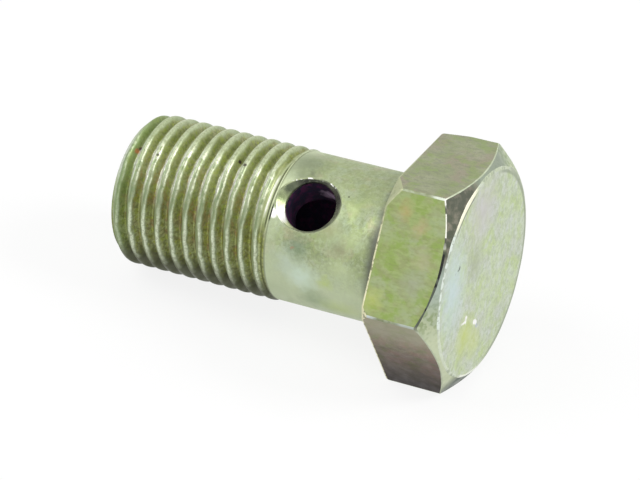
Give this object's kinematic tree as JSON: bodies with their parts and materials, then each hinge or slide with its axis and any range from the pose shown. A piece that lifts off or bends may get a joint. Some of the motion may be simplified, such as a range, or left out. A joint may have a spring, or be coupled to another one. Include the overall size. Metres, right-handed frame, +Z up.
{
  "type": "banjo bolt",
  "caption": "Hollow hex-head banjo bolt with a fine metric thread, a plain shank crossed by a countersunk oil hole, and a blind oil bore drilled from the tip.",
  "frame": {"origin": "middle of the bearing face under the head, on the bolt's own axis", "axes": "+Z up, with the bolt lying on one flat of its head and on its thread; +X towards the head along the table; the tip points to -X and slightly down; the oil hole comes out on the -Y side, above the axis"},
  "size_m": [0.0253, 0.0162, 0.0144],
  "materials": {
    "plated_steel": "zinc plated with an olive-yellow chromate, semi-gloss"
  },
  "bodies": {
    "root": {"banjo_bolt": "plated_steel"}
  },
  "joints": []
}
